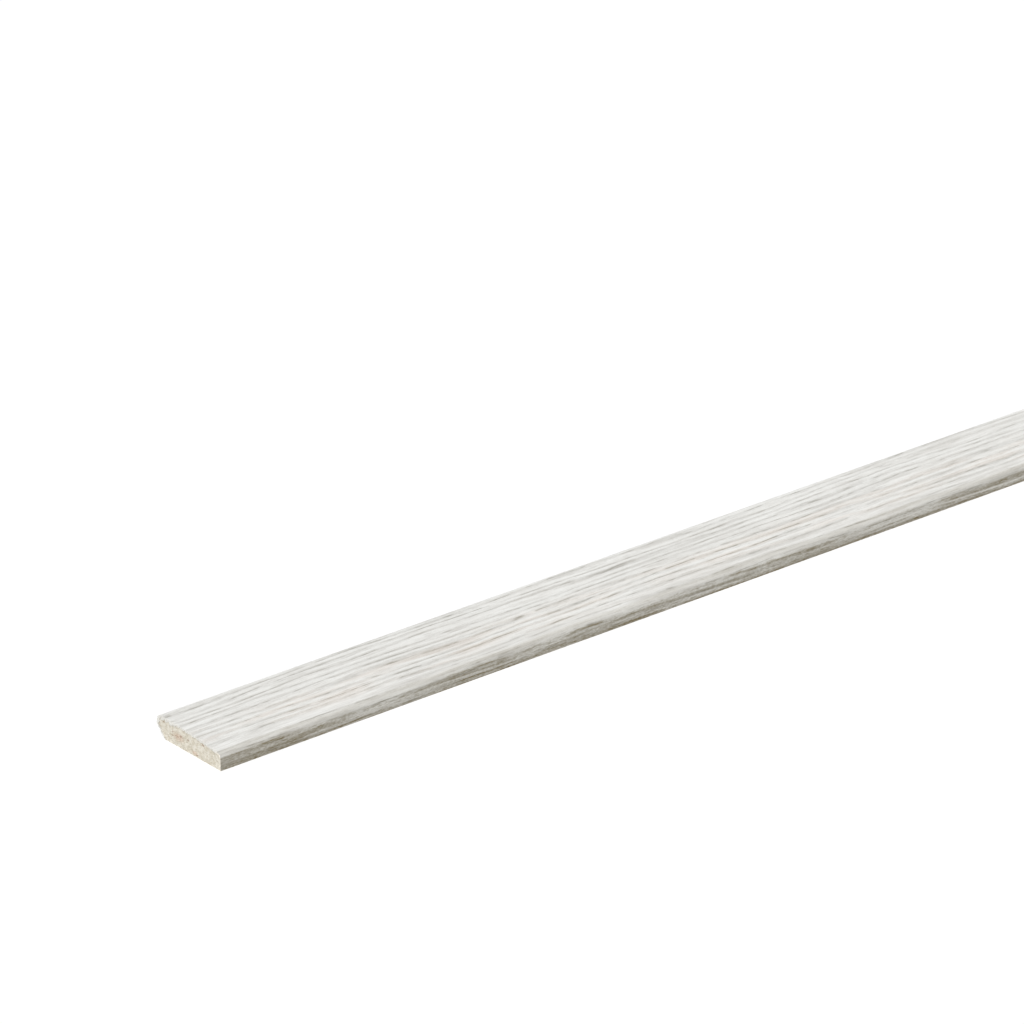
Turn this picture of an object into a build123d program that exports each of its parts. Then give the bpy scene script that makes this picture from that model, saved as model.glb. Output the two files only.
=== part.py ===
from build123d import *

import os
from math import asin, cos, degrees, radians, sin, tan

# Skirting board of wood-fibre board, wrapped in a printed decor foil.
# It lies on its back: X along the board, Y from the thin edge to the thick one, Z out of the back.
# The origin is on the back, halfway along the board and midway between its two edges.
# All sizes are in millimetres and degrees.

# The finished board, foil included
board_length = 2400
board_width = 60
board_thickness = 14
foil_thickness = 0.5

# The face rises in one shallow arch from the shoulder of the thin edge to the top of the nose
face_fall = 2.8

# The thick edge: a nose with a short flat that stands on the floor, and a slope cut away behind it
nose_flat = 1.9
undercut_angle = 45

# Roundings milled on the core, which the foil follows at its own thickness
nose_round = 3.5
heel_round = 1.0
shoulder_round = 3.7

# The core is smaller than the board by the foil on its two edges and its face
core_edge = board_width / 2 - foil_thickness
core_top = board_thickness - foil_thickness

# Centres of the roundings, as (Y, Z), shared by the core and the outside of the foil
nose_centre = (core_edge - nose_round, core_top - nose_round)
heel_centre = (core_edge - heel_round, nose_centre[1] - nose_flat)
shoulder_centre = (-core_edge + shoulder_round, core_top - face_fall - shoulder_round)

# The face's arch is level where it meets the nose and runs tangent into the shoulder
arch_span = nose_centre[0] - shoulder_centre[0]
arch_drop = core_top - shoulder_centre[1]
arch_radius = (arch_span**2 + arch_drop**2 - shoulder_round**2) / (2 * (arch_drop - shoulder_round))
arch_centre = (nose_centre[0], core_top - arch_radius)
arch_angle = degrees(asin(arch_span / (arch_radius - shoulder_round)))


def section(skin):
    """Closed outline of the board at a distance of skin outside the milled core, down to the back's plane."""
    edge = core_edge + skin
    slope_turn = 90 - undercut_angle
    slope_top = (
        heel_centre[0] + (heel_round + skin) * sin(radians(undercut_angle)),
        heel_centre[1] - (heel_round + skin) * cos(radians(undercut_angle)),
    )
    slope_foot = (slope_top[0] - slope_top[1] / tan(radians(undercut_angle)), 0)
    with BuildSketch(Plane.YZ.offset(-board_length / 2)) as outline:
        with BuildLine():
            Line(slope_foot, slope_top)
            CenterArc(heel_centre, heel_round + skin, -slope_turn, slope_turn)
            Line((edge, heel_centre[1]), (edge, nose_centre[1]))
            CenterArc(nose_centre, nose_round + skin, 0, 90)
            CenterArc(arch_centre, arch_radius + skin, 90, arch_angle)
            CenterArc(shoulder_centre, shoulder_round + skin, 90 + arch_angle, 90 - arch_angle)
            Line((-edge, shoulder_centre[1]), (-edge, 0))
            Line((-edge, 0), slope_foot)
        make_face()
    return outline.sketch


# The core: bare at its back and at both sawn ends
core_section = section(0)
core = extrude(core_section, board_length)
core.label = "core"

# The foil: up the thin edge, over the face and the nose, and down the slope, cut off flush with the back
foil_section = section(foil_thickness) - core_section
decor_foil = extrude(foil_section, board_length)
decor_foil.label = "decor_foil"

os.makedirs("parts", exist_ok=True)
for node in (core, decor_foil):
    export_step(node, f"parts/{node.label}.step")
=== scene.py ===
from math import asin, ceil, cos, hypot, pi, radians, sin, tan
from typing import NamedTuple

import bpy
from mathutils import Matrix, Vector


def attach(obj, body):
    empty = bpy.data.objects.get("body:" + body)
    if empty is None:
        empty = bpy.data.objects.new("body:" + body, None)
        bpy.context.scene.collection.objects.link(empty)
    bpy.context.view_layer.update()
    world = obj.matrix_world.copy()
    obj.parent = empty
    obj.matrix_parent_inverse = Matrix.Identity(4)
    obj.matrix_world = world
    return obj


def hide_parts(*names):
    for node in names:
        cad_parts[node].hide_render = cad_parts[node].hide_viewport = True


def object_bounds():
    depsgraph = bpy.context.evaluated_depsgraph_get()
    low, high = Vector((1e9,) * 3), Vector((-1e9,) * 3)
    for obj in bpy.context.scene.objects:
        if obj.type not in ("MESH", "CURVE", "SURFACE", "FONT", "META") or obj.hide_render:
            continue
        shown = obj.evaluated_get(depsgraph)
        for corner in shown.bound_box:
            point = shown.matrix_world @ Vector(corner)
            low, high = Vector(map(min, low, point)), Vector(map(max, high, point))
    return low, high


bl_info = {
    "name": "Skirting board",
    "version": (1, 0, 0),
    "blender": (4, 5, 0),
    "location": "View3D > Sidebar > Skirting",
    "description": "Makes a length of foil-wrapped skirting board and the studio it lies in",
    "category": "Add Mesh",
}

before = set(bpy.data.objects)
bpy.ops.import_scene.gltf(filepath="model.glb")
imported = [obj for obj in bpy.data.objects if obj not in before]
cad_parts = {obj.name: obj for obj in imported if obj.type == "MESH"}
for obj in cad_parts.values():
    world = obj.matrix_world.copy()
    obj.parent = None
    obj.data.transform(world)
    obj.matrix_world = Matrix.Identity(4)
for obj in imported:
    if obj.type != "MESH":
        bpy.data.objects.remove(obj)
cad_low, cad_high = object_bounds()

MM = 0.001
TO_MM = (1 / MM, 1 / MM, 1 / MM)
SKIN_TO_MM = (1 / MM, 1 / MM, 0.0)


def srgb(red, green, blue):
    """Linear colour of a screen colour given in steps of 0 to 255."""
    shares = (step / 255 for step in (red, green, blue))
    return tuple(share / 12.92 if share <= 0.04045 else ((share + 0.055) / 1.055) ** 2.4 for share in shares)


# Sizes and colours that a user would change

def length_property(name, description, millimetres):
    return bpy.props.FloatProperty(name=name, description=description, default=millimetres * MM, min=0.0,
                                   unit="LENGTH", precision=5)


def colour_property(name, description, colour):
    return bpy.props.FloatVectorProperty(name=name, description=description, default=colour, size=3,
                                         min=0.0, max=1.0, subtype="COLOR")


class SkirtingSizes(bpy.types.PropertyGroup):
    """Section of the board, relief of its grain and wear of its sawn ends."""

    foil: length_property("Foil", "Thickness of the decor foil", 0.5)
    face_fall: length_property("Face fall", "How far the face falls from the nose to the thin edge", 2.8)
    nose_flat: length_property("Nose flat", "Height of the flat that stands on the floor", 1.9)
    undercut: bpy.props.FloatProperty(name="Undercut", description="Slope behind the nose, from the back",
                                      default=radians(45), subtype="ANGLE", unit="ROTATION")
    nose_round: length_property("Nose rounding", "Radius milled on the core at the nose", 3.5)
    heel_round: length_property("Heel rounding", "Radius milled on the core under the nose", 1.0)
    shoulder_round: length_property("Shoulder rounding", "Radius milled on the core at the thin edge", 3.7)
    mesh_step: length_property("Mesh step", "Widest spacing of the mesh round the section", 0.4)
    grain_depth: length_property("Grain depth", "Depth of the valleys embossed in the foil", 0.07)
    nick: length_property("Nick", "Deepest nick in the foil's sawn edge", 0.5)
    lip: length_property("Lip", "How far the saw smeared the foil over the core's end", 1.1)
    nose_lip: length_property("Nose lip",
                              "How much further the foil is smeared at the nose of the near end", 1.7)
    crumble: length_property("Crumble", "Deepest pit in the core's sawn ends", 0.3)


class SkirtingColours(bpy.types.PropertyGroup):
    """Colours of the printed foil and of the core."""

    print_light: colour_property("Print light", "Palest wood of the print", srgb(248, 248, 245))
    print_grey: colour_property("Print grey", "Grey clouds of the print", srgb(215, 213, 208))
    print_line: colour_property("Print line", "Dark lines of the print", srgb(146, 142, 132))
    print_warm: colour_property("Print warm", "Warm streaks of the print", srgb(232, 220, 210))
    # Also the colour of the painted shade on the side below the shoulder and along its foot
    dark_print_and_shade: colour_property("Print dark", "Dark wood of the print along the thin edge",
                                srgb(128, 115, 81))
    foil_edge: colour_property("Foil edge", "Cut edge of the foil", srgb(248, 242, 232))
    foil_torn: colour_property("Foil torn", "Foil smeared over the core by the saw", srgb(210, 208, 202))
    fibre_light: colour_property("Fibre light", "Palest fibre of the core", srgb(237, 233, 223))
    fibre_dark: colour_property("Fibre dark", "Darker fibre of the core", srgb(209, 202, 186))
    fibre_red: colour_property("Fibre red", "Reddish fibre of the core", srgb(214, 184, 164))
    fleck: colour_property("Fleck", "Specks of bark in the core", srgb(146, 108, 82))


class SkirtingStudio(bpy.types.PropertyGroup):
    """Light and floor."""

    key_light: bpy.props.FloatProperty(name="Key light", description="Irradiance of the soft lamp",
                                       default=2.54, min=0.0)
    key_spread: bpy.props.FloatProperty(name="Key spread", description="Angle that the soft lamp fills",
                                        default=radians(40), subtype="ANGLE", unit="ROTATION")
    sky_light: bpy.props.FloatProperty(name="Sky light", description="Strength of the world's even light",
                                       default=0.35, min=0.0)
    bounce: colour_property("Bounce", "Colour of the light that the floor throws back", srgb(196, 193, 184))


# Section of the board, in metres, as pairs of (y, z) points

# Widest turn between two points of a rounding
WIDEST_TURN = radians(12)


def section_pairs(sizes):
    """Points of the foil's outside and the core's in pairs, from the thin edge to the slope's foot."""
    edge = cad_high.y - sizes.foil
    top = cad_high.z - sizes.foil
    nose = (edge - sizes.nose_round, top - sizes.nose_round)
    heel = (edge - sizes.heel_round, nose[1] - sizes.nose_flat)
    shoulder = (-edge + sizes.shoulder_round, top - sizes.face_fall - sizes.shoulder_round)
    span = nose[0] - shoulder[0]
    drop = top - shoulder[1]
    arch_round = (span**2 + drop**2 - sizes.shoulder_round**2) / (2 * (drop - sizes.shoulder_round))
    arch = (nose[0], top - arch_round)
    arch_turn = asin(span / (arch_round - sizes.shoulder_round))
    slope_turn = pi / 2 - sizes.undercut
    arcs = (
        (shoulder, sizes.shoulder_round, pi, pi / 2 + arch_turn),
        (arch, arch_round, pi / 2 + arch_turn, pi / 2),
        (nose, sizes.nose_round, pi / 2, 0.0),
        (heel, sizes.heel_round, 0.0, -slope_turn),
    )
    pairs = [((cad_low.y, 0.0), (-edge, 0.0))]
    for centre, radius, start, end in arcs:
        turn = abs(end - start)
        count = ceil(max(turn * (radius + sizes.foil) / sizes.mesh_step, turn / WIDEST_TURN))
        angles = [start + (end - start) * i / count for i in range(count + 1)]
        arc = [pair_at(centre, radius, sizes.foil, angle) for angle in angles]
        pairs += straight_pairs(pairs[-1], arc[0], sizes.mesh_step) + arc[1:]
    return pairs + straight_pairs(pairs[-1], foot_pair(pairs[-1], sizes.undercut), sizes.mesh_step)


def pair_at(centre, radius, foil, angle):
    """The foil's outside and the core on one ray of a rounding."""
    out = (cos(angle), sin(angle))
    outside = (centre[0] + (radius + foil) * out[0], centre[1] + (radius + foil) * out[1])
    core = (centre[0] + radius * out[0], centre[1] + radius * out[1])
    return outside, core


def straight_pairs(first, last, step):
    """Pairs along a straight stretch after the first, with the last among them."""
    count = ceil(hypot(last[0][0] - first[0][0], last[0][1] - first[0][1]) / step)
    stretch = []
    for i in range(1, count + 1):
        stretch.append(tuple(tuple(a + (b - a) * i / count for a, b in zip(first[side], last[side]))
                             for side in (0, 1)))
    return stretch


def foot_pair(pair, undercut):
    """Where the slope behind the nose meets the back, on the foil's outside and on the core."""
    return tuple((point[0] - point[1] / tan(undercut), 0.0) for point in pair)


def run_lengths(points):
    """Distance round the section at each point."""
    runs = [0.0]
    for before, after in zip(points, points[1:]):
        runs.append(runs[-1] + hypot(after[0] - before[0], after[1] - before[1]))
    return runs


def section_mesh(name, points, partners):
    """A mesh of loose points on one side of a wall, each with its partner on the other side and its run."""
    mesh = bpy.data.meshes.new(name)
    mesh.from_pydata([(0.0, y, z) for y, z in points], [], [])
    partner = mesh.attributes.new("partner", "FLOAT_VECTOR", "POINT")
    partner.data.foreach_set("vector", [part for y, z in partners for part in (0.0, y, z)])
    run = mesh.attributes.new("run", "FLOAT", "POINT")
    run.data.foreach_set("value", run_lengths(points))
    return mesh


# Building node trees

class Rise(NamedTuple):
    """Values that go smoothly from start at low to end at high, and hold outside them."""

    low: float
    high: float
    start: float = 0.0
    end: float = 1.0


class Band(NamedTuple):
    """A share that holds within inner of a level, and goes smoothly to the rest at outer."""

    level: float
    inner: float
    outer: float
    share: float
    rest: float = 0.0


class Cloud(NamedTuple):
    """A cloudy pattern with values from 0 to 1: its features' length on each axis, and how much shows."""

    size: tuple
    place: tuple = (0.0, 0.0, 0.0)
    detail: float = 2.0
    roughness: float = 0.5
    rise: Rise = Rise(0.0, 1.0)


class Sway(NamedTuple):
    """A cloudy pattern that lies either side of 0, rarely further than a quarter of its reach."""

    size: tuple
    place: tuple
    reach: float


# Two value inputs and the output of a Mix node, for each kind of value
MIX_SOCKETS = {"FLOAT": (2, 3, 0), "VECTOR": (4, 5, 1), "RGBA": (6, 7, 2)}


class Graph:
    """A node tree that is filled one node at a time, with links given as input values."""

    def __init__(self, tree):
        self.tree = tree

    def add(self, kind, inputs=None, **settings):
        node = self.tree.nodes.new(kind)
        for name, value in settings.items():
            setattr(node, name, value)
        for key, value in (inputs or {}).items():
            self.feed(node.inputs[key], value)
        return node

    def feed(self, socket, value):
        if isinstance(value, bpy.types.NodeSocket):
            self.tree.links.new(value, socket)
        else:
            socket.default_value = value

    def math(self, operation, *values, clamp=False):
        node = self.add("ShaderNodeMath", dict(enumerate(values)), operation=operation, use_clamp=clamp)
        return node.outputs[0]

    def vector_math(self, operation, *values):
        node = self.add("ShaderNodeVectorMath", dict(enumerate(values)), operation=operation)
        return node.outputs[1 if operation == "LENGTH" else 0]

    def product(self, first, *others):
        for other in others:
            first = self.math("MULTIPLY", first, other)
        return first

    def total(self, first, *others):
        for other in others:
            first = self.math("ADD", first, other)
        return first

    def split(self, vector):
        return self.add("ShaderNodeSeparateXYZ", {0: vector}).outputs

    def join(self, x, y, z):
        return self.add("ShaderNodeCombineXYZ", {0: x, 1: y, 2: z}).outputs[0]

    def even(self, value):
        """A vector with the same value on each axis."""
        return self.join(value, value, value)

    def in_units(self, vector, unit):
        """The vector counted in a unit of length."""
        return self.vector_math("DIVIDE", vector, self.even(unit))

    def noise(self, vector, cloud):
        """The bare values of a cloudy pattern, from 0 to 1."""
        scaled = self.vector_math("DIVIDE", vector, cloud.size)
        moved = self.vector_math("ADD", scaled, cloud.place)
        inputs = {"Vector": moved, "Scale": 1.0, "Detail": cloud.detail, "Roughness": cloud.roughness}
        return self.add("ShaderNodeTexNoise", inputs).outputs[0]

    def shown(self, vector, cloud):
        """How much of a cloudy pattern shows."""
        return self.ramp(self.noise(vector, cloud), cloud.rise)

    def sway(self, vector, sway):
        cloudy = self.noise(vector, Cloud(sway.size, sway.place, detail=1.0))
        return self.product(self.math("SUBTRACT", cloudy, 0.5), sway.reach)

    def ramp(self, value, rise):
        inputs = {"Value": value, "From Min": rise.low, "From Max": rise.high,
                  "To Min": rise.start, "To Max": rise.end}
        return self.add("ShaderNodeMapRange", inputs, interpolation_type="SMOOTHSTEP").outputs[0]

    def band(self, value, band):
        distance = self.math("ABSOLUTE", self.math("SUBTRACT", value, band.level))
        return self.ramp(distance, Rise(band.inner, band.outer, band.share, band.rest))

    def mix(self, share, first, second, form="RGBA"):
        """The first value with a share of the second over it."""
        first_input, second_input, output = MIX_SOCKETS[form]
        node = self.add("ShaderNodeMix", {0: share, first_input: first, second_input: second}, data_type=form)
        return node.outputs[output]


SOCKETS = {
    "number": "NodeSocketFloat",
    "whole": "NodeSocketInt",
    "vector": "NodeSocketVector",
    "colour": "NodeSocketColor",
    "geometry": "NodeSocketGeometry",
    "material": "NodeSocketMaterial",
}


def new_tree(name, kind, inputs, outputs):
    """An empty node group with named inputs and outputs, its inputs' sockets and its output node."""
    tree = bpy.data.node_groups.new(name, kind)
    for side, sockets in (("INPUT", inputs), ("OUTPUT", outputs)):
        for label, form in sockets.items():
            tree.interface.new_socket(name=label, in_out=side, socket_type=SOCKETS[form])
    graph = Graph(tree)
    return graph, graph.add("NodeGroupInput").outputs, graph.add("NodeGroupOutput")


# Grain of the foil, in millimetres along the board and round the section; print and emboss share it

class Strokes(NamedTuple):
    """Lines along the grain, which start to show where noise is rare and show fully where it is common."""

    pitch: float
    half_width: float
    length: float
    rare: float
    common: float
    seed: float


VALLEYS = Strokes(pitch=5.6, half_width=1.7, length=28.0, rare=0.3, common=0.5, seed=3.0)
DARK_LINES = Strokes(pitch=5.6, half_width=0.75, length=17.0, rare=0.44, common=0.62, seed=3.0)
FINE_LINES = Strokes(pitch=2.3, half_width=0.6, length=12.0, rare=0.42, common=0.58, seed=11.0)
EDGE_LINES = Strokes(pitch=3.0, half_width=1.1, length=60.0, rare=0.42, common=0.6, seed=29.0)
EDGE_FLECKS = Strokes(pitch=1.7, half_width=0.8, length=9.0, rare=0.46, common=0.62, seed=17.0)

# Lines crowd together and spread out over this length and this many pitches
CROWD_LENGTH = 140.0
CROWD_PITCHES = 1.8
CROWD_PLACE = 0.3
CROWD_REACH = 2.2
# Share of a stroke's half width that is at full strength
STROKE_HEART = 0.1
# Keeps the pauses of neighbouring strokes apart in the noise
PAUSE_SPREAD = 7.37

SLOW_WAVE = Sway(size=(150.0, 45.0, 1.0), place=(3.1, 0.4, 0.0), reach=7.0)
QUICK_WAVE = Sway(size=(26.0, 9.0, 1.0), place=(9.2, 5.7, 0.0), reach=1.4)

PRINT_REPEAT = 1300.0
BOLDEST_PLACE = 220.0
MEAN_STRENGTH = 0.82
STRENGTH_SWING = 0.18


def wavy_grain(graph, place):
    """The place on the skin, bent so that straight lines on it follow the wood's slow waves."""
    x, run, _ = graph.split(place)
    slow = graph.sway(place, SLOW_WAVE)
    quick = graph.sway(place, QUICK_WAVE)
    return graph.join(x, graph.total(run, slow, quick), 0.0)


def print_strength(graph, x):
    """How bold the print is along the board: it swells and calms once in each repeat of the print."""
    turn = graph.product(graph.total(x, -cad_low.x / MM - BOLDEST_PLACE), 2 * pi / PRINT_REPEAT)
    return graph.total(MEAN_STRENGTH, graph.product(graph.math("COSINE", turn), STRENGTH_SWING))


def strokes(graph, grain, kind):
    """Lines along the grain: their strength, the place across their band, -0.5 to 0.5, and their presence."""
    x, run, _ = graph.split(grain)
    crowding = graph.sway(grain, Sway(size=(CROWD_LENGTH, CROWD_PITCHES * kind.pitch, 1.0),
                                      place=(kind.seed, CROWD_PLACE, 0.0), reach=CROWD_REACH))
    phase = graph.total(graph.math("DIVIDE", run, kind.pitch), crowding)
    band = graph.math("FLOOR", phase)
    across = graph.math("SUBTRACT", graph.math("SUBTRACT", phase, band), 0.5)
    distance = graph.product(graph.math("ABSOLUTE", across), kind.pitch)
    body = graph.ramp(distance, Rise(STROKE_HEART * kind.half_width, kind.half_width, 1.0, 0.0))
    along = graph.join(x, graph.product(band, PAUSE_SPREAD), kind.length)
    present = graph.shown(along, Cloud(size=(kind.length, 1.0, 1.0), place=(kind.half_width, 0.0, 0.0),
                                       detail=1.0, rise=Rise(kind.rare, kind.common)))
    return graph.product(body, present), across, present


# The swept wall: a solid between two paired lines of the section, run along the board

WALL_INPUTS = {
    "Section": "geometry",
    "Length": "number",
    "Rings": "whole",
    "Stops": "whole",
    "Layers": "whole",
    "End crowding": "number",
    "Recess": "number",
    "Pit depth": "number",
    "Pit size": "number",
    "Nick depth": "number",
    "Nick size": "number",
    "Lip": "number",
    "Nose lip": "number",
    "Grain depth": "number",
    "Seed": "number",
    "Material": "material",
}

# The block that the wall is bent from runs from -0.5 to 0.5 on each axis
BLOCK_HALF = 0.5
# A face of the block points along an axis where that part of its normal is larger than this
FACING = 0.5

# Pits and nicks are counted in their own sizes, and die out along the board over the saw's reach
OWN_SIZE = (1.0, 1.0, 1.0)
PITS = Cloud(size=OWN_SIZE, detail=3.0, roughness=0.6, rise=Rise(0.42, 0.75))
NICKS = Cloud(size=OWN_SIZE, place=(7.0, 3.0, 5.0), rise=Rise(0.58, 0.75))
NICK_LOSS_INSIDE = 0.6
SAW_REACH = MM

# The lip is ragged all along, shorter at the thin edge and longer at the nose
RAGS = Cloud(size=(1.6 * MM, 1.6 * MM, 1.6 * MM), place=(2.0, 9.0, 4.0), detail=3.0, rise=Rise(0.3, 0.7))
SHORTEST_RAG = 0.25
LIP_ACROSS = Rise(-29.4 * MM, -25 * MM, 0.3, 1.0)
NOSE_ACROSS = Rise(9 * MM, 14 * MM)
NOSE_ABOVE = Rise(8 * MM, 10.5 * MM)
INNERMOST_DEPTH = 0.99

VALLEY_PRESS = 0.65
DARK_LINE_PRESS = 0.35

MERGE_DISTANCE = 1e-6
CREASE_ANGLE = radians(32)


def swept_wall_tree():
    """Geometry nodes that run a wall between paired section points along the board."""
    graph, given, result = new_tree("Swept wall", "GeometryNodeTree", WALL_INPUTS, {"Wall": "geometry"})
    block = graph.add("GeometryNodeMeshCube", {
        "Vertices X": given["Rings"],
        "Vertices Y": given["Stops"],
        "Vertices Z": given["Layers"],
    }).outputs["Mesh"]
    normal_x, _, normal_z = graph.split(graph.add("GeometryNodeInputNormal").outputs[0])
    sawn = graph.math("GREATER_THAN", graph.math("ABSOLUTE", normal_x), FACING)
    skin = graph.math("GREATER_THAN", normal_z, FACING)
    block = store(graph, block, "sawn", "FLOAT", sawn, "FACE")
    block = store(graph, block, "skin", "FLOAT", skin, "FACE")
    along, across, through = graph.split(graph.add("GeometryNodeInputPosition").outputs[0])

    # Each vertex of the block looks up its stop of the section
    last_stop = graph.math("SUBTRACT", given["Stops"], 1.0)
    stop = graph.math("ROUND", graph.product(graph.total(across, BLOCK_HALF), last_stop))
    own_place = graph.add("GeometryNodeInputPosition").outputs[0]
    point = sample(graph, given["Section"], "FLOAT_VECTOR", own_place, stop)
    partner = sample(graph, given["Section"], "FLOAT_VECTOR", named(graph, "FLOAT_VECTOR", "partner"), stop)
    run = sample(graph, given["Section"], "FLOAT", named(graph, "FLOAT", "run"), stop)
    depth = graph.math("SUBTRACT", BLOCK_HALF, through)
    flat = graph.mix(depth, point, partner, form="VECTOR")

    # Rings stand close together at both ends and a pitch apart along the rest
    half = graph.product(given["Length"], 0.5)
    last_ring = graph.math("SUBTRACT", given["Rings"], 1.0)
    pitch = graph.math("DIVIDE", given["Length"], last_ring)
    to_end = graph.math("SUBTRACT", BLOCK_HALF, graph.math("ABSOLUTE", along))
    ring = graph.math("ROUND", graph.product(to_end, last_ring))
    crowd = graph.math("POWER", graph.math("DIVIDE", ring, given["End crowding"]), 2.0)
    share = graph.math("SUBTRACT", 1.0, graph.math("EXPONENT", graph.product(crowd, -1.0)))
    offset = graph.product(ring, pitch, share)
    side = graph.math("SIGN", along)
    flat_x = graph.product(side, graph.math("SUBTRACT", half, offset))
    skin_place = graph.join(flat_x, run, depth)
    spread = store(graph, block, "skin_place", "FLOAT_VECTOR", skin_place, "POINT")

    # Both ends are pitted and nicked by the saw
    _, flat_y, flat_z = graph.split(flat)
    spot = graph.join(graph.product(side, given["Seed"]), flat_y, flat_z)
    pits = graph.shown(graph.in_units(spot, given["Pit size"]), PITS)
    nicks = graph.shown(graph.in_units(spot, given["Nick size"]), NICKS)
    outer = graph.math("SUBTRACT", 1.0, graph.product(depth, NICK_LOSS_INSIDE))
    cut = graph.total(given["Recess"], graph.product(pits, given["Pit depth"]),
                      graph.product(nicks, given["Nick depth"], outer))
    fade = graph.math("EXPONENT", graph.math("DIVIDE", offset, -SAW_REACH))
    x = graph.product(side, graph.math("SUBTRACT", half, graph.total(offset, graph.product(cut, fade))))

    # The valleys of the grain are pressed into the outside, and the lip leans over the wall's inner line
    outward = graph.vector_math("NORMALIZE", graph.vector_math("SUBTRACT", point, partner))
    print_place = graph.vector_math("MULTIPLY", graph.join(flat_x, run, 0.0), SKIN_TO_MM)
    grain = wavy_grain(graph, print_place)
    valley = graph.product(strokes(graph, grain, VALLEYS)[0], VALLEY_PRESS)
    dark = graph.product(strokes(graph, grain, DARK_LINES)[0], DARK_LINE_PRESS)
    pressed = graph.product(graph.total(valley, dark), given["Grain depth"],
                            graph.math("SUBTRACT", 1.0, depth))
    at_end = graph.math("LESS_THAN", ring, 0.5)
    innermost = graph.math("GREATER_THAN", depth, INNERMOST_DEPTH)
    ragged = graph.shown(spot, RAGS)
    near_nose = graph.product(graph.ramp(flat_y, NOSE_ACROSS), graph.ramp(flat_z, NOSE_ABOVE),
                              graph.math("LESS_THAN", side, 0.0))
    leaning = graph.total(given["Lip"], graph.product(near_nose, given["Nose lip"]))
    smeared = graph.product(graph.ramp(flat_y, LIP_ACROSS), at_end, innermost, leaning,
                            graph.total(SHORTEST_RAG, graph.product(ragged, 1.0 - SHORTEST_RAG)))
    inward = graph.product(graph.total(pressed, smeared), -1.0)
    shift = graph.vector_math("MULTIPLY", outward, graph.even(inward))
    _, y, z = graph.split(graph.vector_math("ADD", flat, shift))
    shaped = graph.add("GeometryNodeSetPosition", {"Geometry": spread, "Position": graph.join(x, y, z)})

    # Seams of no width close up, and only the real edges of the wall stay sharp
    closed = graph.add("GeometryNodeMergeByDistance", {
        "Geometry": shaped.outputs[0],
        "Distance": MERGE_DISTANCE,
    })
    angle = graph.add("GeometryNodeInputMeshEdgeAngle").outputs["Unsigned Angle"]
    smooth = graph.add("GeometryNodeSetShadeSmooth", {"Geometry": closed.outputs[0], "Shade Smooth": True},
                       domain="FACE")
    creased = graph.add("GeometryNodeSetShadeSmooth", {
        "Geometry": smooth.outputs[0],
        "Selection": graph.math("GREATER_THAN", angle, CREASE_ANGLE),
        "Shade Smooth": False,
    }, domain="EDGE")
    whole = graph.add("GeometryNodeRealizeInstances", {0: creased.outputs[0]})
    dressed = graph.add("GeometryNodeSetMaterial", {
        "Geometry": whole.outputs[0],
        "Material": given["Material"],
    })
    graph.feed(result.inputs[0], dressed.outputs[0])
    return graph.tree


def store(graph, geometry, name, form, value, domain):
    """The geometry with a value kept on it under a name that the material reads."""
    return graph.add("GeometryNodeStoreNamedAttribute", {"Geometry": geometry, "Name": name, "Value": value},
                     data_type=form, domain=domain).outputs[0]


def named(graph, form, name):
    return graph.add("GeometryNodeInputNamedAttribute", {"Name": name}, data_type=form).outputs["Attribute"]


def sample(graph, geometry, form, value, index):
    """The value that a field has at one point of another geometry."""
    return graph.add("GeometryNodeSampleIndex", {"Geometry": geometry, "Value": value, "Index": index},
                     data_type=form, domain="POINT").outputs[0]


def swept_piece(name, section, values):
    """A finished plain mesh of the swept wall over a section mesh."""
    tree = bpy.data.node_groups.get("Swept wall") or swept_wall_tree()
    piece = bpy.data.objects.new(name, section)
    bpy.context.collection.objects.link(piece)
    modifier = piece.modifiers.new("Swept wall", "NODES")
    modifier.node_group = tree
    for item in tree.interface.items_tree:
        if item.in_out == "INPUT" and item.name in values:
            modifier[item.identifier] = values[item.name]
    shown = bpy.context.evaluated_depsgraph_get()
    mesh = bpy.data.meshes.new_from_object(piece.evaluated_get(shown), preserve_all_data_layers=True,
                                           depsgraph=shown)
    piece.modifiers.remove(modifier)
    piece.data = mesh
    mesh.name = name
    return piece


# Effects that the materials share or that need a tree of their own, in millimetres

MOTTLE = Cloud(size=OWN_SIZE, roughness=0.55, rise=Rise(0.3, 0.7, 0.0, 0.85))
CRUMBS = Cloud(size=(0.3, 0.3, 0.3), place=(5.0, 2.0, 8.0), roughness=0.6, rise=Rise(0.45, 0.8, 0.0, 0.25))
MOTTLE_DEPTH = 0.12
CRUMB_DEPTH = 0.06

BLADE_CENTRE = (0.0, -40.0, -95.0)
BLADE_WAVER = Sway(size=(3.0, 3.0, 3.0), place=(1.0, 6.0, 2.0), reach=1.5)


def opaque(colour):
    return (*colour, 1.0)


def fibre_group():
    """Pressed wood fibre: soft mottle with finer crumbs in it, counted in its grain."""
    graph, given, result = new_tree("Pressed fibre", "ShaderNodeTree", {
        "Place": "vector",
        "Grain": "number",
        "Light": "colour",
        "Dark": "colour",
    }, {"Color": "colour", "Height": "number"})
    scaled = graph.in_units(given["Place"], given["Grain"])
    mottle = graph.noise(scaled, MOTTLE)
    crumbs = graph.noise(scaled, CRUMBS)
    dark = graph.total(graph.ramp(mottle, MOTTLE.rise), graph.ramp(crumbs, CRUMBS.rise))
    fibre = graph.mix(graph.math("MINIMUM", dark, 1.0), given["Light"], given["Dark"])
    graph.feed(result.inputs["Color"], fibre)
    height = graph.total(graph.product(mottle, -MOTTLE_DEPTH), graph.product(crumbs, -CRUMB_DEPTH))
    graph.feed(result.inputs["Height"], height)
    return graph.tree


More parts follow.
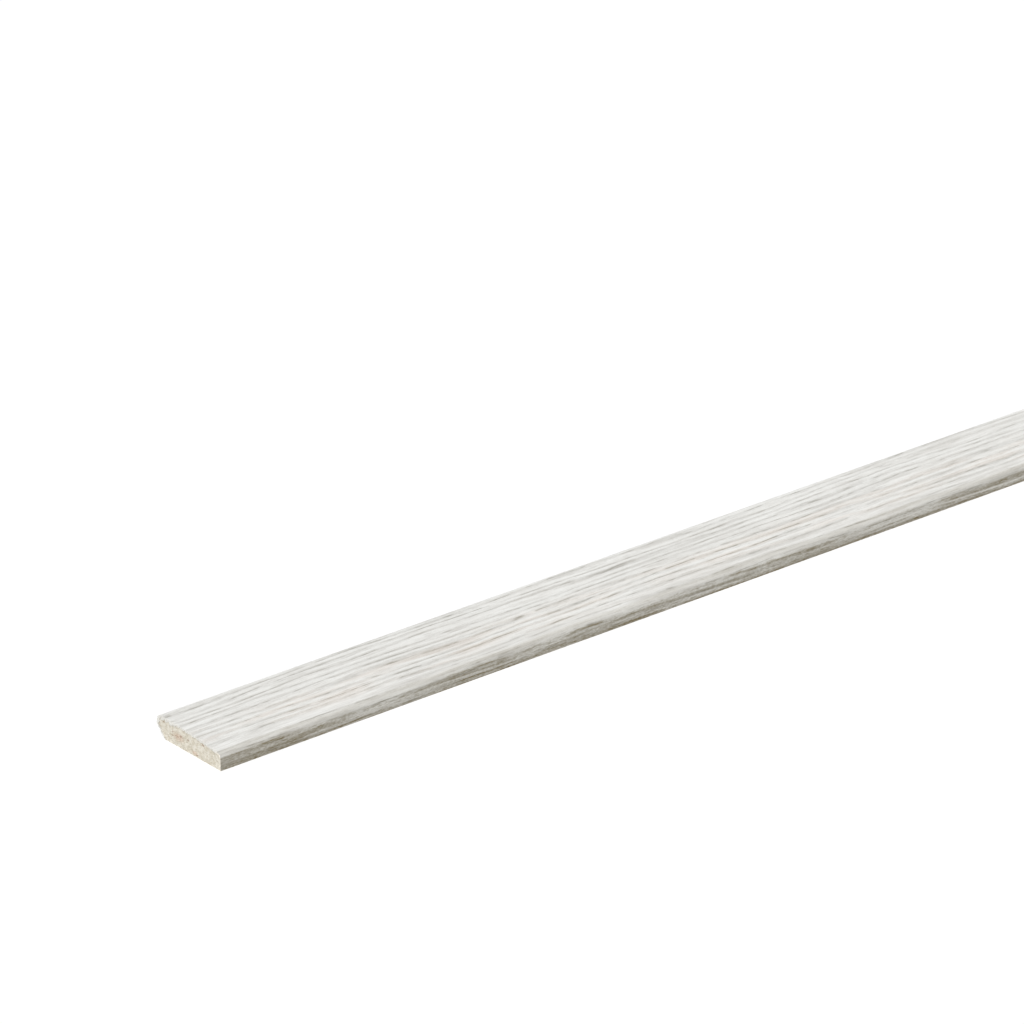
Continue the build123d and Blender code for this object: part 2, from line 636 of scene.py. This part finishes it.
def saw_group():
    """Arcs that a circular saw leaves on a sawn end, as a height."""
    graph, given, result = new_tree("Saw marks", "ShaderNodeTree", {
        "Place": "vector",
        "Spacing": "number",
        "Depth": "number",
    }, {"Height": "number"})
    _, y, z = graph.split(graph.vector_math("SUBTRACT", given["Place"], BLADE_CENTRE))
    radius = graph.vector_math("LENGTH", graph.join(0.0, y, z))
    waver = graph.sway(given["Place"], BLADE_WAVER)
    turns = graph.math("DIVIDE", graph.total(radius, waver), given["Spacing"])
    wave = graph.math("SINE", graph.product(turns, 2 * pi))
    graph.feed(result.inputs["Height"], graph.product(wave, given["Depth"], 0.5))
    return graph.tree


# The print: cloudy patterns of the wood, and how much of each kind of line shows

CLOUDS = Cloud(size=(100.0, 11.0, 1.0), place=(1.7, 2.9, 0.0), rise=Rise(0.35, 0.68, 0.0, 0.3))
STREAKS = Cloud(size=(30.0, 2.6, 1.0), place=(4.4, 8.1, 0.0), roughness=0.6, rise=Rise(0.35, 0.7, 0.0, 0.5))
THREADS = Cloud(size=(6.0, 0.5, 1.0), place=(6.0, 1.3, 0.0), detail=3.0, roughness=0.6,
                rise=Rise(0.4, 0.75, 0.0, 0.27))
PORES = Cloud(size=(1.6, 0.5, 1.0), place=(2.0, 8.0, 0.0), detail=1.0, rise=Rise(0.45, 0.8, 0.0, 0.2))
WARMTH = Cloud(size=(60.0, 6.0, 1.0), place=(8.0, 17.0, 0.0), rise=Rise(0.38, 0.66))
WARM_MIDDLE = Band(level=28.0, inner=4.0, outer=16.0, share=1.0, rest=0.1)
UNBROKEN = Cloud(size=(7.0, 1.5, 1.0), place=(3.0, 5.0, 0.0), detail=1.0, rise=Rise(0.34, 0.6, 0.35, 1.0))
# Painted highlight on the ridges beside the embossed valleys
RIDGE_HIGHLIGHT = Rise(0.3, 0.48)
SHEEN = Rise(0.3, 0.7, 0.5, 0.62)

WARM_WOOD_SHARE = 0.4
WARM_LINE_SHARE = 0.5
VALLEY_SHARE = 0.2
FINE_LINE_SHARE = 0.22
DARK_LINE_SHARE = 0.62
RIDGE_HIGHLIGHT_SHARE = 0.5
FINE_LINE_DEPTH = 0.02
THREAD_DEPTH = 0.03


def oak_group():
    """White oak print: pale wood, grey clouds and long dark lines, with painted highlights on the ridges
    beside the embossed valleys, and a dark thin edge that is partly painted shade.
    """
    graph, given, result = new_tree("Oak print", "ShaderNodeTree", {
        "Place": "vector",
        "Light": "colour",
        "Grey": "colour",
        "Line": "colour",
        "Warm": "colour",
        "Dark": "colour",
    }, {"Color": "colour", "Height": "number", "Roughness": "number"})
    grain = wavy_grain(graph, given["Place"])
    x, run, _ = graph.split(given["Place"])
    valley, across, present = strokes(graph, grain, VALLEYS)
    fine = strokes(graph, grain, FINE_LINES)[0]
    dark = strokes(graph, grain, DARK_LINES)[0]
    threads = graph.noise(grain, THREADS)

    warm = graph.product(graph.shown(grain, WARMTH), graph.band(run, WARM_MIDDLE))
    grey = graph.total(graph.shown(grain, CLOUDS), graph.shown(grain, STREAKS))
    wood = graph.mix(graph.math("MINIMUM", grey, 1.0), given["Light"], given["Grey"])
    wood = graph.mix(graph.product(warm, WARM_WOOD_SHARE), wood, given["Warm"])
    line = graph.mix(graph.product(warm, WARM_LINE_SHARE), given["Line"], given["Dark"])
    wood = graph.mix(graph.ramp(threads, THREADS.rise), wood, line)
    wood = graph.mix(graph.shown(given["Place"], PORES), wood, line)
    unbroken = graph.shown(grain, UNBROKEN)
    lines = graph.total(graph.product(valley, VALLEY_SHARE), graph.product(fine, unbroken, FINE_LINE_SHARE),
                        graph.product(dark, unbroken, DARK_LINE_SHARE))
    wood = graph.mix(graph.math("MULTIPLY", lines, print_strength(graph, x), clamp=True), wood, line)
    # Painted highlight on the ridges beside the embossed valleys
    ridge_highlight = graph.ramp(graph.math("ABSOLUTE", across), RIDGE_HIGHLIGHT)
    wood = graph.mix(graph.product(ridge_highlight, present, RIDGE_HIGHLIGHT_SHARE), wood, given["Light"])
    graph.feed(result.inputs["Color"], thin_edge(graph, given, grain, wood))

    height = graph.total(graph.product(fine, -FINE_LINE_DEPTH), graph.product(threads, -THREAD_DEPTH))
    graph.feed(result.inputs["Height"], height)
    graph.feed(result.inputs["Roughness"], graph.ramp(threads, SHEEN))
    return graph.tree


# The thin edge: dark wood of the print below a wavering rim, partly painted shade, then a darker streak, a
# painted highlight strip and fine grey veins

NEAR_END = Rise(15.0, 70.0, 1.0, 0.0)
RIM_SLOW_WAVE = Sway(size=(80.0, 60.0, 1.0), place=(5.0, 2.0, 0.0), reach=4.0)
RIM_QUICK_WAVE = Sway(size=(9.0, 3.0, 1.0), place=(2.0, 7.0, 0.0), reach=2.0)
NEAR_END_LIFT = 0.5
# Painted shade: below this rim the side is darkened in its colour, on top of the print's dark wood
DARK_PRINT_AND_SHADE_BELOW = Rise(6.8, 9.3, 1.0, 0.0)
STREAK_ABOVE = Band(level=11.0, inner=0.0, outer=2.8, share=0.25)
# Painted highlight: a pale strip along the shoulder where the satin foil catches the light
PAINTED_HIGHLIGHT_ABOVE = Band(level=15.2, inner=0.5, outer=3.8, share=0.12)
VEINED_ABOVE = Band(level=16.0, inner=1.0, outer=4.5, share=0.5)
VEINS = Cloud(size=(24.0, 1.1, 1.0), place=(12.0, 5.0, 0.0), roughness=0.6, rise=Rise(0.4, 0.62))

# What the side's darkness is made up of: the print's lines, strands, flecks, blotches and speckle, painted
# shade along the foot, and a darkening towards the near end
PLAIN_TONE = -0.18
EDGE_LINE_SHARE = 0.45
EDGE_LINE_LOSS = 0.25
EDGE_FLECK_SHARE = 0.28
STRAND = Band(level=7.2, inner=0.0, outer=1.1, share=0.36)
STRAND_PATCHES = Cloud(size=(26.0, 90.0, 1.0), place=(6.0, 3.0, 0.0), detail=1.0, rise=Rise(0.42, 0.56))
BLOTCHES = Cloud(size=(80.0, 3.0, 1.0), place=(3.0, 6.0, 0.0), detail=1.0, rise=Rise(0.35, 0.65, 0.0, 0.28))
SPECKLE = Cloud(size=(2.4, 0.8, 1.0), place=(1.0, 4.0, 0.0), roughness=0.65, rise=Rise(0.32, 0.7, 0.0, 0.38))
# Painted shade along the bottom of the side, where the board meets the floor
PAINTED_FOOT_SHADE = Rise(0.6, 3.2, 0.34, 0.0)
NEAR_END_SHARE = 0.2


def thin_edge(graph, given, grain, wood):
    """The wood darkened along the thin edge up to a rim that wavers along the shoulder: partly the print's
    dark wood and partly painted shade, with a painted highlight strip above the shoulder.
    """
    x, run, _ = graph.split(given["Place"])
    near_end = graph.ramp(graph.total(x, -cad_low.x / MM), NEAR_END)
    slow = graph.sway(given["Place"], RIM_SLOW_WAVE)
    quick = graph.sway(given["Place"], RIM_QUICK_WAVE)
    level = graph.total(run, slow, graph.product(near_end, -NEAR_END_LIFT))
    rim = graph.total(level, quick)
    edge_lines = strokes(graph, grain, EDGE_LINES)[0]
    flecks = strokes(graph, grain, EDGE_FLECKS)[0]

    strand = graph.product(graph.band(rim, STRAND), graph.shown(given["Place"], STRAND_PATCHES))
    line_share = graph.math("SUBTRACT", EDGE_LINE_SHARE, graph.product(near_end, EDGE_LINE_LOSS))
    lined = graph.product(edge_lines, line_share)
    bold = graph.product(graph.total(lined, strand, graph.shown(grain, BLOTCHES)), print_strength(graph, x))
    print_and_shade_tone = graph.total(PLAIN_TONE, bold, graph.product(flecks, EDGE_FLECK_SHARE),
                       graph.shown(given["Place"], SPECKLE), graph.ramp(run, PAINTED_FOOT_SHADE),
                       graph.product(near_end, NEAR_END_SHARE))
    veined = graph.product(graph.band(level, VEINED_ABOVE), graph.shown(grain, VEINS))
    # Painted highlight along the shoulder
    wood = graph.mix(graph.band(level, PAINTED_HIGHLIGHT_ABOVE), wood, given["Light"])
    wood = graph.mix(veined, wood, given["Grey"])
    wood = graph.mix(graph.band(level, STREAK_ABOVE), wood, given["Dark"])
    # Painted shade and the print's dark wood, mixed into the colour below the rim
    print_and_shade_darkness = graph.math("MULTIPLY", graph.ramp(rim, DARK_PRINT_AND_SHADE_BELOW), print_and_shade_tone, clamp=True)
    return graph.mix(print_and_shade_darkness, wood, given["Dark"])


# Materials

def new_material(name):
    """An empty material with the shader that it feeds."""
    material = bpy.data.materials.new(name)
    material.use_nodes = True
    return material, Graph(material.node_tree), material.node_tree.nodes["Principled BSDF"]


def attribute(graph, name, output):
    """A value that the swept wall kept on its mesh."""
    return graph.add("ShaderNodeAttribute", attribute_name=name).outputs[output]


def place_in_mm(graph):
    return graph.vector_math("MULTIPLY", graph.add("ShaderNodeTexCoord").outputs["Object"], TO_MM)


def placed_group(graph, name, make, inputs):
    """One placed copy of a shader group, which is built the first time that it is asked for."""
    node = graph.add("ShaderNodeGroup", node_tree=bpy.data.node_groups.get(name) or make())
    for key, value in inputs.items():
        graph.feed(node.inputs[key], value)
    return node.outputs


def bumped(graph, shader, height):
    """Feeds a height in millimetres to the shader's normal."""
    bump = graph.add("ShaderNodeBump", {"Strength": 1.0, "Distance": MM, "Height": height})
    graph.feed(shader.inputs["Normal"], bump.outputs[0])


# The bare paper is greyer where the section has passed the shoulder, and towards the core
GREY_PAST_SHOULDER = Rise(10 * MM, 16 * MM)
GREY_AT_CORE = Rise(0.3, 0.6, 0.8, 1.0)
PAPER_ROUGHNESS = 0.8


def foil_material(colours):
    """The printed foil on its outside, and bare paper where it is sawn, smeared or turned inwards."""
    material, graph, shader = new_material("oak_decor_foil")
    skin_place = attribute(graph, "skin_place", "Vector")
    skin = attribute(graph, "skin", "Fac")
    _, run, depth = graph.split(skin_place)
    oak = placed_group(graph, "Oak print", oak_group, {
        "Place": graph.vector_math("MULTIPLY", skin_place, SKIN_TO_MM),
        "Light": opaque(colours.print_light),
        "Grey": opaque(colours.print_grey),
        "Line": opaque(colours.print_line),
        "Warm": opaque(colours.print_warm),
        "Dark": opaque(colours.dark_print_and_shade),
    })
    torn = placed_group(graph, "Pressed fibre", fibre_group, {
        "Place": place_in_mm(graph),
        "Grain": 1.1,
        "Light": opaque(colours.print_light),
        "Dark": opaque(colours.foil_torn),
    })
    greyed = graph.product(graph.ramp(run, GREY_PAST_SHOULDER), graph.ramp(depth, GREY_AT_CORE))
    paper = graph.mix(greyed, opaque(colours.foil_edge), torn["Color"])
    graph.feed(shader.inputs["Base Color"], graph.mix(skin, paper, oak["Color"]))
    graph.feed(shader.inputs["Roughness"], graph.mix(skin, PAPER_ROUGHNESS, oak["Roughness"], form="FLOAT"))
    bumped(graph, shader, graph.mix(skin, torn["Height"], oak["Height"], form="FLOAT"))
    shader.inputs["Specular IOR Level"].default_value = 0.35
    return material


class Fleck(NamedTuple):
    """A fleck on the near end, in millimetres from the thin edge and above the back."""

    across: float
    above: float
    half_width: float
    half_height: float


BARK_FLECKS = (
    Fleck(53.7, 10.9, 1.0, 0.5),
    Fleck(45.3, 8.0, 0.8, 0.5),
    Fleck(45.4, 5.5, 0.7, 0.4),
    Fleck(42.1, 6.5, 0.7, 0.5),
    Fleck(40.2, 6.4, 0.5, 0.4),
    Fleck(37.4, 7.6, 1.2, 0.7),
    Fleck(30.4, 7.9, 0.9, 0.5),
    Fleck(16.4, 10.0, 1.1, 0.5),
    Fleck(22.2, 1.3, 1.0, 0.5),
)
RED_FLECKS = (
    Fleck(39.5, 6.2, 4.5, 2.2),
    Fleck(24.5, 2.0, 2.4, 1.2),
)
FLECK_SOFTNESS = 0.6
BARK_SHARE = 0.6
RED_SHARE = 0.45

# Small flecks lie in some cells of a random grid, and all flecks have bent outlines
FLECK_BEND = Sway(size=(0.8, 0.8, 0.8), place=(3.0, 1.0, 7.0), reach=1.6)
SMALL_FLECK_SPACING = (2.4, 2.4, 1.7)
EMPTY_CELLS = 0.74
SMALL_FLECK = Rise(0.08, 0.28, 0.4, 0.0)

# How much of the fibre's mottle is sanded away on the back
SANDED_SHARE = 0.65


def fleck_mask(graph, place, flecks):
    """One inside the listed flecks of the near end and 0 outside, with a soft rim."""
    x, y, z = graph.split(place)
    mask = 0.0
    for fleck in flecks:
        aside = graph.math("SUBTRACT", y, fleck.across + cad_low.y / MM)
        across = graph.math("DIVIDE", aside, fleck.half_width)
        above = graph.math("DIVIDE", graph.math("SUBTRACT", z, fleck.above), fleck.half_height)
        distance = graph.vector_math("LENGTH", graph.join(across, above, 0.0))
        inside = graph.ramp(distance, Rise(1.0 - FLECK_SOFTNESS, 1.0 + FLECK_SOFTNESS, 1.0, 0.0))
        mask = graph.math("MAXIMUM", mask, inside)
    return graph.product(mask, graph.math("LESS_THAN", x, 0.0))


def fibre_material(colours):
    """Raw fibreboard: crumbly with bark flecks where it is sawn, sanded on the back."""
    material, graph, shader = new_material("fibreboard")
    place = place_in_mm(graph)
    light = opaque(colours.fibre_light)
    dark = opaque(colours.fibre_dark)
    fibre = placed_group(graph, "Pressed fibre", fibre_group, {
        "Place": place,
        "Grain": 2.2,
        "Light": light,
        "Dark": dark,
    })
    sawn = attribute(graph, "sawn", "Fac")
    saw = placed_group(graph, "Saw marks", saw_group, {"Place": place, "Spacing": 1.3, "Depth": 0.03})

    bent = graph.vector_math("ADD", place, graph.even(graph.sway(place, FLECK_BEND)))
    cell = graph.add("ShaderNodeTexVoronoi", {
        "Vector": graph.vector_math("DIVIDE", bent, SMALL_FLECK_SPACING),
        "Scale": 1.0,
    }, feature="F1")
    chosen = graph.math("GREATER_THAN", graph.split(cell.outputs["Color"])[0], EMPTY_CELLS)
    small = graph.product(chosen, graph.ramp(cell.outputs["Distance"], SMALL_FLECK))
    bark = graph.product(fleck_mask(graph, bent, BARK_FLECKS), BARK_SHARE)
    red = graph.product(fleck_mask(graph, bent, RED_FLECKS), RED_SHARE)
    sanded = graph.product(graph.math("SUBTRACT", 1.0, sawn), SANDED_SHARE)
    wood = graph.mix(sanded, fibre["Color"], graph.mix(0.5, light, dark))
    wood = graph.mix(red, wood, opaque(colours.fibre_red))
    wood = graph.mix(graph.math("MAXIMUM", small, bark), wood, opaque(colours.fleck))
    graph.feed(shader.inputs["Base Color"], wood)
    bumped(graph, shader, graph.total(fibre["Height"], graph.product(saw["Height"], sawn)))
    shader.inputs["Roughness"].default_value = 0.9
    shader.inputs["Specular IOR Level"].default_value = 0.2
    return material


# Operators

class SKIRTING_OT_foil(bpy.types.Operator):
    """Make the printed foil that wraps the board"""

    bl_idname = "skirting.foil"
    bl_label = "Decor foil"

    def execute(self, context):
        sizes = context.scene.skirting_sizes
        pairs = section_pairs(sizes)
        section = section_mesh("foil section", [pair[0] for pair in pairs], [pair[1] for pair in pairs])
        piece = swept_piece("oak_foil_wrap", section, {
            "Length": cad_high.x - cad_low.x,
            "Rings": 201,
            "Stops": len(pairs),
            "Layers": 3,
            "End crowding": 9.5,
            "Recess": 0.0,
            "Pit depth": 0.05 * MM,
            "Pit size": 0.5 * MM,
            "Nick depth": sizes.nick,
            "Nick size": 2.2 * MM,
            "Lip": sizes.lip,
            "Nose lip": sizes.nose_lip,
            "Grain depth": sizes.grain_depth,
            "Seed": 0.4,
            "Material": foil_material(context.scene.skirting_colours),
        })
        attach(piece, "root")
        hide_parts("decor_foil")
        return {"FINISHED"}


class SKIRTING_OT_core(bpy.types.Operator):
    """Make the fibreboard core with its sawn ends"""

    bl_idname = "skirting.core"
    bl_label = "Fibreboard core"

    def execute(self, context):
        sizes = context.scene.skirting_sizes
        points = [pair[1] for pair in section_pairs(sizes)]
        runs = run_lengths(points)
        first, last = points[0][0], points[-1][0]
        back = [(first + (last - first) * run / runs[-1], 0.0) for run in runs]
        piece = swept_piece("fibreboard_core", section_mesh("core section", points, back), {
            "Length": cad_high.x - cad_low.x,
            "Rings": 25,
            "Stops": len(points),
            "Layers": 61,
            "End crowding": 3.0,
            "Recess": 0.16 * MM,
            "Pit depth": sizes.crumble,
            "Pit size": 0.9 * MM,
            "Nick depth": 0.0,
            "Nick size": 2.2 * MM,
            "Lip": 0.0,
            "Nose lip": 0.0,
            "Grain depth": 0.0,
            "Seed": 0.7,
            "Material": fibre_material(context.scene.skirting_colours),
        })
        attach(piece, "root")
        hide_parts("core")
        return {"FINISHED"}


# Camera fitted to the photograph: a 1024 x 1024 picture, pixels counted from its top left corner
PICTURE_WIDTH = 1024
FOCAL_PIXELS = 7786.0
SENSOR_WIDTH = 36.0
VIEW_DOWN = radians(24.94)
BOARD_TURN = radians(39.411)
NEAR_CORNER_PIXEL = (220.54, 771.35)
NEAR_CORNER_DEPTH = 4.44

# Studio, in metres
KEY_DIRECTION = (-0.62, -0.2, 0.76)
KEY_DISTANCE = 3.0
FLOOR_REACH = 6.0
FLOOR_PALE = (0.5, 0.5, 0.5, 1.0)
FLOOR_GLOW = 0.55
WHITE = (1.0, 1.0, 1.0, 1.0)


def white_seen(graph, dull, bright):
    """A shader that is bright where it is seen or mirrored, and dull where it only lights other things."""
    path = graph.add("ShaderNodeLightPath").outputs
    seen = graph.math("MAXIMUM", path["Is Camera Ray"],
                      graph.math("MAXIMUM", path["Is Glossy Ray"], path["Is Transmission Ray"]))
    return graph.add("ShaderNodeMixShader", {0: seen, 1: dull, 2: bright}).outputs[0]


class SKIRTING_OT_stage(bpy.types.Operator):
    """Make the pale floor, the soft light and the camera"""

    bl_idname = "skirting.stage"
    bl_label = "Studio"

    def execute(self, context):
        studio = context.scene.skirting_studio
        self.make_floor(context, studio)
        self.make_light(context, studio)
        self.make_camera(context)
        context.scene.view_settings.view_transform = "Standard"
        return {"FINISHED"}

    def make_floor(self, context, studio):
        mesh = bpy.data.meshes.new("studio_floor")
        corners = [(x * FLOOR_REACH, y * FLOOR_REACH, 0) for x, y in ((-1, -1), (1, -1), (1, 1), (-1, 1))]
        mesh.from_pydata(corners, [], [(0, 1, 2, 3)])
        floor = bpy.data.objects.new("studio_floor", mesh)
        context.collection.objects.link(floor)
        material = bpy.data.materials.new("studio_floor")
        material.use_nodes = True
        material.node_tree.nodes.clear()
        graph = Graph(material.node_tree)
        dull = graph.add("ShaderNodeBsdfDiffuse", {"Color": opaque(studio.bounce)}).outputs[0]
        pale = graph.add("ShaderNodeBsdfDiffuse", {"Color": FLOOR_PALE}).outputs[0]
        glow = graph.add("ShaderNodeEmission", {"Strength": FLOOR_GLOW}).outputs[0]
        bright = graph.add("ShaderNodeAddShader", {0: pale, 1: glow}).outputs[0]
        graph.add("ShaderNodeOutputMaterial", {"Surface": white_seen(graph, dull, bright)})
        mesh.materials.append(material)

    def make_light(self, context, studio):
        lamp = bpy.data.lights.new("soft_key", "SUN")
        lamp.energy = studio.key_light
        lamp.angle = studio.key_spread
        key = bpy.data.objects.new("soft_key", lamp)
        key.rotation_euler = Vector(KEY_DIRECTION).to_track_quat("Z", "Y").to_euler()
        key.location = Vector(KEY_DIRECTION) * KEY_DISTANCE
        context.collection.objects.link(key)
        world = bpy.data.worlds.new("studio")
        context.scene.world = world
        world.use_nodes = True
        world.node_tree.nodes.clear()
        graph = Graph(world.node_tree)
        dull = graph.add("ShaderNodeBackground", {"Color": WHITE, "Strength": studio.sky_light}).outputs[0]
        bright = graph.add("ShaderNodeBackground", {"Color": WHITE, "Strength": 1.0}).outputs[0]
        graph.add("ShaderNodeOutputWorld", {"Surface": white_seen(graph, dull, bright)})

    def make_camera(self, context):
        right = Vector((cos(BOARD_TURN), -sin(BOARD_TURN), 0.0))
        up = Vector((sin(BOARD_TURN) * sin(VIEW_DOWN), cos(BOARD_TURN) * sin(VIEW_DOWN), cos(VIEW_DOWN)))
        ahead = Vector((sin(BOARD_TURN) * cos(VIEW_DOWN), cos(BOARD_TURN) * cos(VIEW_DOWN), -sin(VIEW_DOWN)))
        per_pixel = NEAR_CORNER_DEPTH / FOCAL_PIXELS
        corner = Vector((cad_low.x, cad_low.y, cad_low.z))
        offset = (right * (NEAR_CORNER_PIXEL[0] - PICTURE_WIDTH / 2) * per_pixel
                  - up * (NEAR_CORNER_PIXEL[1] - PICTURE_WIDTH / 2) * per_pixel + ahead * NEAR_CORNER_DEPTH)
        lens = bpy.data.cameras.new("camera")
        lens.sensor_width = SENSOR_WIDTH
        lens.lens = SENSOR_WIDTH * FOCAL_PIXELS / PICTURE_WIDTH
        camera = bpy.data.objects.new("camera", lens)
        turn = Matrix((right, up, -ahead)).transposed()
        camera.matrix_world = Matrix.Translation(corner - offset) @ turn.to_4x4()
        context.collection.objects.link(camera)
        context.scene.camera = camera


class SKIRTING_PT_panel(bpy.types.Panel):
    """Lists the pieces of the board and their sizes"""

    bl_label = "Skirting board"
    bl_idname = "SKIRTING_PT_panel"
    bl_space_type = "VIEW_3D"
    bl_region_type = "UI"
    bl_category = "Skirting"

    def draw(self, context):
        for operator in (SKIRTING_OT_foil, SKIRTING_OT_core, SKIRTING_OT_stage):
            self.layout.operator(operator.bl_idname)
        scene = context.scene
        for group in (scene.skirting_sizes, scene.skirting_colours, scene.skirting_studio):
            for name in group.__annotations__:
                self.layout.prop(group, name)


CLASSES = (
    SkirtingSizes,
    SkirtingColours,
    SkirtingStudio,
    SKIRTING_OT_foil,
    SKIRTING_OT_core,
    SKIRTING_OT_stage,
    SKIRTING_PT_panel,
)


def register():
    for kind in CLASSES:
        bpy.utils.register_class(kind)
    bpy.types.Scene.skirting_sizes = bpy.props.PointerProperty(type=SkirtingSizes)
    bpy.types.Scene.skirting_colours = bpy.props.PointerProperty(type=SkirtingColours)
    bpy.types.Scene.skirting_studio = bpy.props.PointerProperty(type=SkirtingStudio)


def unregister():
    del bpy.types.Scene.skirting_studio
    del bpy.types.Scene.skirting_colours
    del bpy.types.Scene.skirting_sizes
    for kind in reversed(CLASSES):
        bpy.utils.unregister_class(kind)


def main():
    register()
    bpy.ops.skirting.foil()
    bpy.ops.skirting.core()
    bpy.ops.skirting.stage()


if __name__ == "__main__":
    main()
